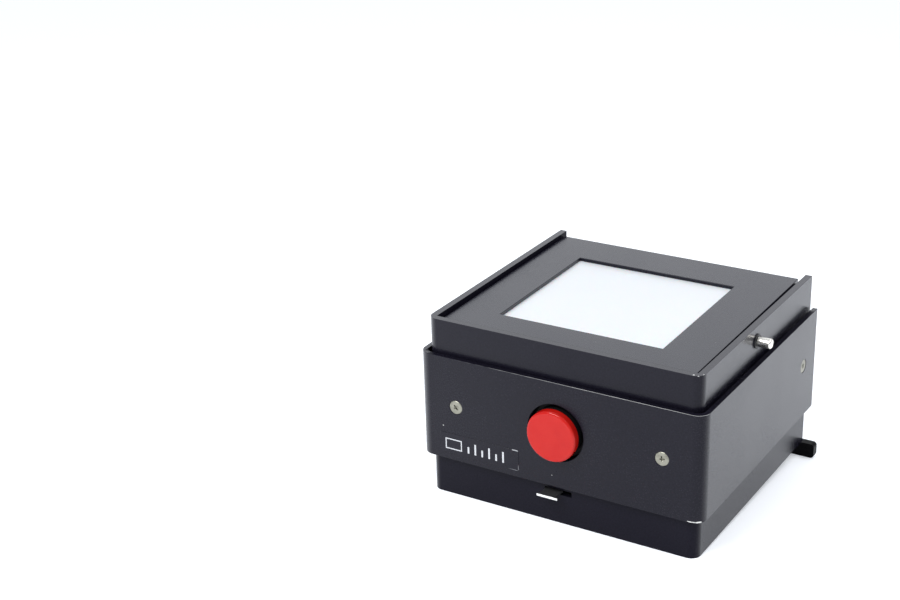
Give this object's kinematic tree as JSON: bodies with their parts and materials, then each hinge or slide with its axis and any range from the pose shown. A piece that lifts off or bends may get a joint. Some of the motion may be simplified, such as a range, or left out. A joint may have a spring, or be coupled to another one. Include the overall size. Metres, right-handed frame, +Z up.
{
  "type": "enlarger light-mixing box",
  "caption": "Black light-mixing box of an enlarger: white diffusing window on top, red push button that shifts a latch tongue, side pin and rear bar.",
  "frame": {"origin": "centre of the shell's outline (without the rear bar, pin and tongue) on the box's lower face", "axes": "+X the box's right-hand side, where the pin stands out; +Y its back, away from the button; +Z up, towards the lamp"},
  "size_m": [0.1257, 0.1175, 0.0811],
  "materials": {
    "shell_black": "fine-grained satin black moulding",
    "band_black": "fine-grained satin black lacquer on sheet metal",
    "plate_black": "smooth satin black lacquer on sheet metal",
    "opal": "opal white acrylic, satin",
    "reflector_white": "matt white",
    "button_red": "glossy, slightly translucent red",
    "plunger_black": "black moulded acetal",
    "housing_black": "moulded black",
    "nickel": "bright nickel plate",
    "pin_nickel": "turned steel, nickel plated",
    "spring_steel": "drawn spring wire",
    "latch_black": "black sheet steel with bare cut edges",
    "label_black": "satin black film",
    "bar_black": "satin black moulding"
  },
  "bodies": {
    "box": {"body_shell": "shell_black", "cover_band": "band_black", "cover_spacers": "housing_black", "cover_screws": "nickel", "format_label": "label_black", "back_panel": "plate_black", "back_panel_screws": "nickel", "top_plate": "plate_black", "entry_diffuser": "opal", "diffuser_clips": "spring_steel", "front_reflector": "reflector_white", "back_reflector": "reflector_white", "left_reflector": "reflector_white", "right_reflector": "reflector_white", "bottom_plate": "plate_black", "bottom_screws": "nickel", "exit_diffuser": "opal", "exit_mask": "plate_black", "exit_mask_screws": "nickel", "button_spring": "spring_steel", "button_housing": "housing_black", "housing_screws": "nickel", "latch_screws": "nickel", "latch_spring": "spring_steel", "side_pin": "pin_nickel", "pin_collar": "housing_black", "pin_clip": "spring_steel", "rear_bar": "bar_black", "rear_bar_screws": "nickel", "rear_bar_nuts": "nickel"},
    "button": {"button_cap": "button_red", "button_plunger": "plunger_black", "button_clip": "spring_steel"},
    "latch": {"latch_slide": "latch_black"}
  },
  "joints": [
    {"name": "button_press", "type": "slide", "parent": "box", "child": "button", "axis": [0, 1, 0], "range_m": [0, 0.004], "stiffness_N_per_m": 400, "springref_m": -0.002, "deforming": ["button_spring"]},
    {"name": "latch_shift", "type": "slide", "parent": "box", "child": "latch", "axis": [1, 0, 0], "range_m": [0, 0.0042], "stiffness_N_per_m": 150, "springref_m": -0.002, "deforming": ["latch_spring"]}
  ],
  "couplings": [
    {"joint": "latch_shift", "follows": "button_press", "ratio": 1.05}
  ]
}
